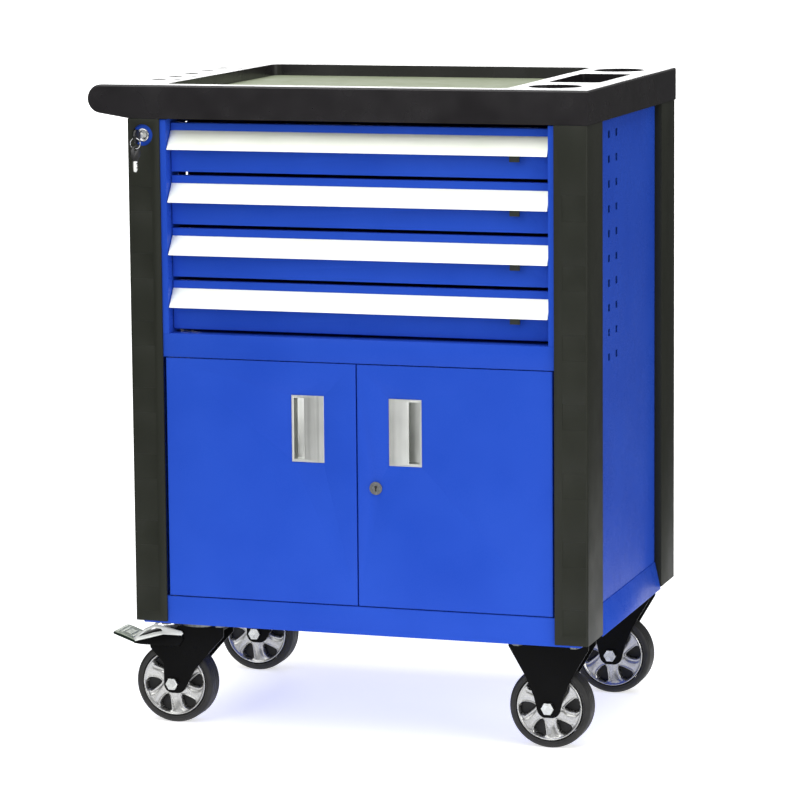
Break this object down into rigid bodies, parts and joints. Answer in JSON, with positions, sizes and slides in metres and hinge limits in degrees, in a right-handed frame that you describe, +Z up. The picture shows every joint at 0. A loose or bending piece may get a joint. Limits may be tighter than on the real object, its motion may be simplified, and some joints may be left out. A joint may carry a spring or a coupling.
{
  "type": "rolling tool chest",
  "caption": "Wheeled sheet-metal tool chest with sliding drawers over a two-door compartment, a recessed top tray with push handle, corner posts, key locks and braked casters.",
  "frame": {"origin": "on the floor, under the middle of the chest's bounding box", "axes": "+X to the user's right when facing the drawers, +Y from the front to the back, +Z up"},
  "size_m": [0.672, 0.502, 0.8558],
  "materials": {
    "blue_enamel": "semi-gloss blue powder coat",
    "black_trim": "lightly grained black extrusion",
    "black_tray": "black moulded ABS",
    "grey_mat": "pale grey-green foam mat",
    "satin_aluminium": "satin silver anodising",
    "latch_plastic": "black plastic",
    "zinc_steel": "zinc plate",
    "pull_steel": "satin plated",
    "lock_chrome": "bright chrome",
    "key_plastic": "black key heads on plated blades",
    "black_fork": "black paint",
    "brake_pad": "grey-green pedal on a plated lever",
    "tyre_rubber": "black rubber",
    "silver_hub": "silver painted moulding"
  },
  "bodies": {
    "cabinet": {"post_front_left": "black_trim", "post_front_right": "black_trim", "post_rear_left": "black_trim", "post_rear_right": "black_trim", "side_panel_left": "blue_enamel", "side_panel_right": "blue_enamel", "back_panel": "blue_enamel", "base_pan": "blue_enamel", "caster_channels": "blue_enamel", "divider_shelf": "blue_enamel", "slide_pillars": "blue_enamel", "case_slides": "zinc_steel", "hinge_pins": "zinc_steel", "drawer_lock_barrel": "lock_chrome", "top_tray": "black_tray", "tray_mat": "grey_mat", "swivel_caster_plates": "zinc_steel", "fixed_caster_forks": "black_fork", "fixed_caster_axles": "zinc_steel", "caster_bolts": "zinc_steel"},
    "drawer_1": {"drawer_1_box": "blue_enamel", "drawer_1_handle": "satin_aluminium", "drawer_1_slides": "zinc_steel"},
    "latch_1": {"drawer_1_latch": "latch_plastic"},
    "drawer_2": {"drawer_2_box": "blue_enamel", "drawer_2_handle": "satin_aluminium", "drawer_2_slides": "zinc_steel"},
    "latch_2": {"drawer_2_latch": "latch_plastic"},
    "drawer_3": {"drawer_3_box": "blue_enamel", "drawer_3_handle": "satin_aluminium", "drawer_3_slides": "zinc_steel"},
    "latch_3": {"drawer_3_latch": "latch_plastic"},
    "drawer_4": {"drawer_4_box": "blue_enamel", "drawer_4_handle": "satin_aluminium", "drawer_4_slides": "zinc_steel"},
    "latch_4": {"drawer_4_latch": "latch_plastic"},
    "door_left": {"door_left_panel": "blue_enamel", "door_left_pull": "pull_steel"},
    "door_right": {"door_right_panel": "blue_enamel", "door_right_pull": "pull_steel", "door_lock_barrel": "lock_chrome"},
    "door_lock": {"door_lock_cam": "lock_chrome"},
    "drawer_lock": {"drawer_lock_plug": "lock_chrome", "drawer_lock_key": "key_plastic"},
    "lock_bar": {"drawer_lock_bar": "zinc_steel"},
    "hanging_keys": {"spare_key_on_ring": "key_plastic"},
    "swivel_front": {"swivel_fork_front": "black_fork", "swivel_axle_front": "zinc_steel"},
    "brake_front": {"brake_pedal_front": "brake_pad"},
    "wheel_front_left": {"tyre_front_left": "tyre_rubber", "hub_front_left": "silver_hub"},
    "wheel_front_right": {"tyre_front_right": "tyre_rubber", "hub_front_right": "silver_hub"},
    "swivel_rear": {"swivel_fork_rear": "black_fork", "swivel_axle_rear": "zinc_steel"},
    "brake_rear": {"brake_pedal_rear": "brake_pad"},
    "wheel_rear_left": {"tyre_rear_left": "tyre_rubber", "hub_rear_left": "silver_hub"},
    "wheel_rear_right": {"tyre_rear_right": "tyre_rubber", "hub_rear_right": "silver_hub"}
  },
  "joints": [
    {"name": "drawer_1_slide", "type": "slide", "parent": "cabinet", "child": "drawer_1", "axis": [0, -1, 0], "range_m": [0, 0.3]},
    {"name": "latch_1_slide", "type": "slide", "parent": "drawer_1", "child": "latch_1", "axis": [-1, 0, 0], "range_m": [0, 0.0055], "stiffness_N_per_m": 80},
    {"name": "drawer_2_slide", "type": "slide", "parent": "cabinet", "child": "drawer_2", "axis": [0, -1, 0], "range_m": [0, 0.3]},
    {"name": "latch_2_slide", "type": "slide", "parent": "drawer_2", "child": "latch_2", "axis": [-1, 0, 0], "range_m": [0, 0.0055], "stiffness_N_per_m": 80},
    {"name": "drawer_3_slide", "type": "slide", "parent": "cabinet", "child": "drawer_3", "axis": [0, -1, 0], "range_m": [0, 0.3]},
    {"name": "latch_3_slide", "type": "slide", "parent": "drawer_3", "child": "latch_3", "axis": [-1, 0, 0], "range_m": [0, 0.0055], "stiffness_N_per_m": 80},
    {"name": "drawer_4_slide", "type": "slide", "parent": "cabinet", "child": "drawer_4", "axis": [0, -1, 0], "range_m": [0, 0.3]},
    {"name": "latch_4_slide", "type": "slide", "parent": "drawer_4", "child": "latch_4", "axis": [-1, 0, 0], "range_m": [0, 0.0055], "stiffness_N_per_m": 80},
    {"name": "door_left_hinge", "type": "hinge", "parent": "cabinet", "child": "door_left", "pos_m": [-0.2301, -0.2065, 0.343], "axis": [0, 0, -1], "range_deg": [0, 95]},
    {"name": "door_right_hinge", "type": "hinge", "parent": "cabinet", "child": "door_right", "pos_m": [0.2811, -0.2065, 0.343], "axis": [0, 0, 1], "range_deg": [0, 95]},
    {"name": "door_lock_turn", "type": "hinge", "parent": "door_right", "child": "door_lock", "pos_m": [0.0515, -0.2135, 0.341], "axis": [0, 1, 0], "range_deg": [0, 90]},
    {"name": "drawer_lock_turn", "type": "hinge", "parent": "cabinet", "child": "drawer_lock", "pos_m": [-0.2615, -0.2135, 0.7907], "axis": [0, -1, 0], "range_deg": [0, 90]},
    {"name": "lock_bar_slide", "type": "slide", "parent": "cabinet", "child": "lock_bar", "axis": [0, 0, 1], "range_m": [0, 0.012]},
    {"name": "key_ring_swing", "type": "hinge", "parent": "drawer_lock", "child": "hanging_keys", "pos_m": [-0.2615, -0.242, 0.7907], "axis": [-1, 0, 0], "range_deg": [-20, 80]},
    {"name": "swivel_front_turn", "type": "hinge", "parent": "cabinet", "child": "swivel_front", "pos_m": [-0.218, -0.144, 0.133], "axis": [0, 0, 1], "continuous": true},
    {"name": "wheel_front_left_spin", "type": "hinge", "parent": "swivel_front", "child": "wheel_front_left", "pos_m": [-0.2525, -0.144, 0.054], "axis": [0, 1, 0], "continuous": true},
    {"name": "wheel_front_right_spin", "type": "hinge", "parent": "cabinet", "child": "wheel_front_right", "pos_m": [0.2665, -0.144, 0.054], "axis": [0, 1, 0], "continuous": true},
    {"name": "brake_front_press", "type": "hinge", "parent": "swivel_front", "child": "brake_front", "pos_m": [-0.2405, -0.144, 0.123], "axis": [0, -1, 0], "range_deg": [0, 7]},
    {"name": "swivel_rear_turn", "type": "hinge", "parent": "cabinet", "child": "swivel_rear", "pos_m": [-0.218, 0.177, 0.133], "axis": [0, 0, 1], "continuous": true},
    {"name": "wheel_rear_left_spin", "type": "hinge", "parent": "swivel_rear", "child": "wheel_rear_left", "pos_m": [-0.2525, 0.177, 0.054], "axis": [0, 1, 0], "continuous": true},
    {"name": "wheel_rear_right_spin", "type": "hinge", "parent": "cabinet", "child": "wheel_rear_right", "pos_m": [0.2665, 0.177, 0.054], "axis": [0, 1, 0], "continuous": true},
    {"name": "brake_rear_press", "type": "hinge", "parent": "swivel_rear", "child": "brake_rear", "pos_m": [-0.2405, 0.177, 0.123], "axis": [0, -1, 0], "range_deg": [0, 7]}
  ],
  "couplings": [
    {"joint": "drawer_lock_turn", "follows": "lock_bar_slide", "rad_per_m": 130.9}
  ]
}
